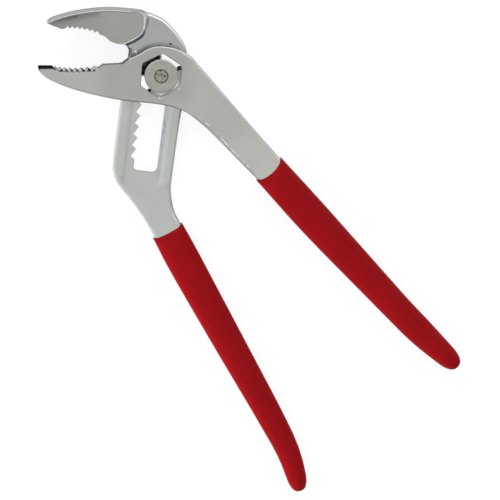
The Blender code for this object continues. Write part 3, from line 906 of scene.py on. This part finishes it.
RECESS_PATCHES = (
    # Painted reflections, white, on the walls at the upper right and on the left.
    Patch((0.4, 2.5, 9.7), (12, 12, 12.4), 0.2, GLINT_WHITE, POLISHED),
    Patch((-12, -9, 9.7), (-5, -0.5, 12.4), 0.2, GLINT_WHITE, POLISHED),
    # Painted shadow, black, on the wall and corner at the upper left, with darker steel showing
    # through lower down.
    Patch((-9.4, 4.0, 9), (-0.6, 10.7, 12.9), 0.2, PIT_AND_SHADE_BLACK, RECESS_ROUGH, metal=0.0),
    Patch((-11, 0.4, 9), (-7, 4.5, 12.9), 0.2, PIT_AND_SHADE_BLACK, RECESS_ROUGH, metal=0.0),
    Patch((-9.4, 2.0, 9), (-0.6, 10.7, 11.5), 0.2, plate(0.30), RECESS_ROUGH, metal=0.3, blots=500),
    # Painted shade in the corners on the right and at the lower left.
    Patch((7.4, 2.4, 9), (9.4, 4.2, 12.9), 0.3, SHADE_BLUE_BLACK, RECESS_ROUGH, metal=0.0),
    Patch((-6.0, -7.6, 9), (-4.8, -6.2, 12.9), 0.3, SHADE_DULL_BLACK, RECESS_ROUGH, metal=0.0),
)
FRONT_PATCHES = (
    # Painted shade on the hub, and painted light on the neck.
    Patch((-24, -8, 0), (8, 16, 20), 10, plate(0.88), SATIN),
    Patch((38, -300, 0), (300, -36, 20), 18, plate(1.11), SATIN),
    # Painted light on the upper wall of the hub, and painted shade on the wall of the throat beside
    # it.
    Patch((-16, 5, 7), (14, 16, 11.8), 0.3, HUB_WALL_LIGHT, SATIN, side=NORTH),
    Patch(
        (-30, 2, 8), (-15.5, 11, 12.9), 0.5, plate(0.35), STAIN_AND_SHADE_ROUGH, side=(-0.2, 1, 0), lean=(0.2, 0.5)
    ),
    # Lower left edge of the neck: painted shade on its side and a broken painted highlight.
    Patch(
        (24, -3, 5), (75, 0, 20), 0.3, plate(0.80), GROUND,
        side=(-0.73, -0.68, 0), lean=(0.1, 0.5), turn=NECK_TURN,
    ),
    Patch(
        (28, 0.1, 5), (75, 0.5, 20), 0.2, plate(1.8), SATIN,
        side=UP, lean=(0.9, 0.98), turn=NECK_TURN, blots=300,
    ),
    *shoulder(RECESS_LIT),
    # Teeth: painted light on the flanks towards the tip, painted black shade on the flanks towards
    # the throat. The tip's flat is black with painted shade.
    Patch((-51, 1, 1), (-29.8, 6.5, 12.9), 0.2, plate(1.4), SATIN, side=(-1, 0.3, 0)),
    Patch((-59, 2.6, 1), (-50, 6, 12.9), 0.2, PIT_AND_SHADE_BLACK, MATT, metal=0.0),
    Patch((-50.5, 1, 1), (-29.8, 6, 12.9), 0.2, SHADE_DULL_BLACK, MATT, metal=0.0, side=EAST),
    # The painted black shade runs over onto the face, at the flat and at the teeth.
    Patch((-59, 4.3, 12.6), (-50, 7, 14), 0.9, PIT_AND_SHADE_BLACK, MATT, metal=0.0),
    Patch((-48, 2.9, 12.6), (-31.5, 6, 14), 0.7, SHADE_DULL_BLACK, MATT, metal=0.0),
    *RECESS_PATCHES,
)


def main() -> None:
    """Builds the pieces and the studio."""
    logging.basicConfig(level=logging.INFO, format="%(name)s: %(message)s")
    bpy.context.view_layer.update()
    rear_finish = SatinPlate(PLATE_COLOUR, brush_turn=80.0, patches=REAR_PATCHES)
    front_finish = SatinPlate(PLATE_COLOUR, brush_turn=-45.0, patches=FRONT_PATCHES)
    # The nut takes the painted light of the shoulder and the painted light and shade of the recess.
    pivot_finish = TurnedZinc(ZINC_COLOUR, patches=shoulder(NUT_LIT) + RECESS_PATCHES)
    rear_plate = rear_finish.material("rear_plate")
    front_plate = front_finish.material("front_plate")
    vinyl = DippedVinyl().material("dipped_vinyl")
    zinc = pivot_finish.material("turned_zinc")
    for piece in (
        Piece("rear_arm_forging", "rear_arm", Body.REAR, rear_plate),
        Sleeve("rear_grip_sleeve", "rear_grip", Body.REAR, vinyl, arm="rear_arm"),
        Piece("bolt_turned", "pivot_bolt", Body.PIVOT, zinc),
        Piece("nut_turned", "pivot_nut", Body.PIVOT, zinc, crease=math.radians(20.0)),
        Piece("front_arm_forging", "front_arm", Body.FRONT, front_plate),
        Sleeve("front_grip_sleeve", "front_grip", Body.FRONT, vinyl, arm="front_arm"),
    ):
        piece.build()
    Studio().build()


if __name__ == "__main__":
    main()
